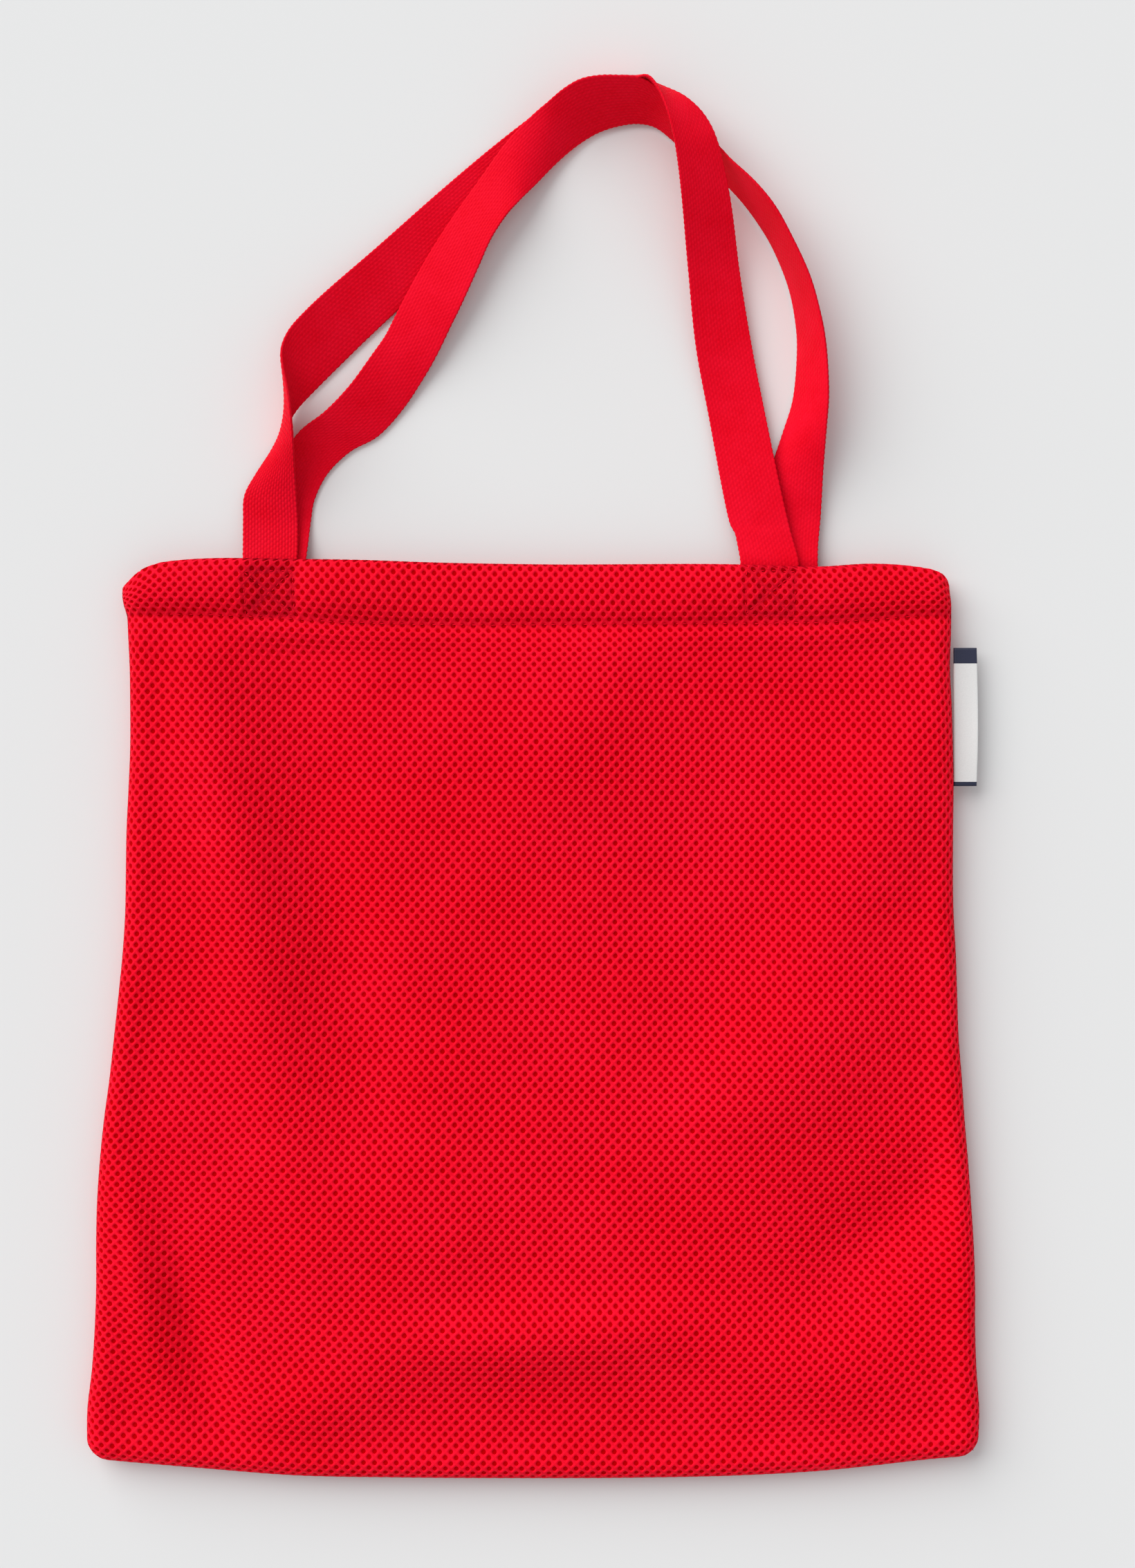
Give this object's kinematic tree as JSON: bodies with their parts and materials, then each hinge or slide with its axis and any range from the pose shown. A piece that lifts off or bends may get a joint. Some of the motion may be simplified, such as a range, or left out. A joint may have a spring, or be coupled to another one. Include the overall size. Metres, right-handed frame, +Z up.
{
  "type": "foldable tote bag",
  "caption": "Flat foldable shopping tote in red open spacer mesh with turned hems, flat webbing loop handles sewn inside the mouth and a small folded side label.",
  "frame": {"origin": "under the middle of the whole object, handles and label included, on the surface it lies on", "axes": "+Z up out of the front panel, +Y from the bottom edge towards the mouth and handles, +X to the wearer's side that carries the label"},
  "size_m": [0.3938, 0.6212, 0.024],
  "materials": {
    "spacer_mesh": "knitted polyester spacer mesh, matt with a slight filament sheen",
    "webbing": "ribbed woven polypropylene webbing, slight sheen",
    "thread": "polyester sewing thread",
    "label_tape": "woven satin tape"
  },
  "bodies": {
    "bag": {"front_panel_upper": "spacer_mesh", "back_panel_upper": "spacer_mesh", "front_handle_left_end": "webbing", "front_handle_right_end": "webbing", "back_handle_left_end": "webbing", "back_handle_right_end": "webbing", "front_left_box_stitch": "thread", "front_right_box_stitch": "thread", "back_left_box_stitch": "thread", "back_right_box_stitch": "thread", "front_hem_stitch": "thread", "back_hem_stitch": "thread", "left_side_seam": "thread", "right_side_seam": "thread"},
    "bottom_third": {"front_panel_lower": "spacer_mesh", "back_panel_lower": "spacer_mesh", "bottom_seam": "thread"},
    "front_loop": {"front_handle": "webbing"},
    "back_loop": {"back_handle": "webbing"},
    "label": {"side_label": "label_tape"}
  },
  "joints": [
    {"name": "storage_fold", "type": "hinge", "parent": "bag", "child": "bottom_third", "pos_m": [0.00006, -0.17589, 0.0175], "axis": [-1, 0, 0], "range_deg": [0, 178]},
    {"name": "front_handle_swing", "type": "hinge", "parent": "bag", "child": "front_loop", "pos_m": [0.00006, 0.09591, 0.014], "axis": [1, 0, 0], "range_deg": [0, 160]},
    {"name": "back_handle_swing", "type": "hinge", "parent": "bag", "child": "back_loop", "pos_m": [0.00006, 0.09591, 0.014], "axis": [1, 0, 0], "range_deg": [0, 160]},
    {"name": "label_flex", "type": "hinge", "parent": "bag", "child": "label", "pos_m": [0.18606, -0.00089, 0.0075], "axis": [0, -1, 0], "range_deg": [0, 90]}
  ],
  "couplings": [
    {"joint": "back_handle_swing", "follows": "front_handle_swing", "ratio": 1}
  ]
}
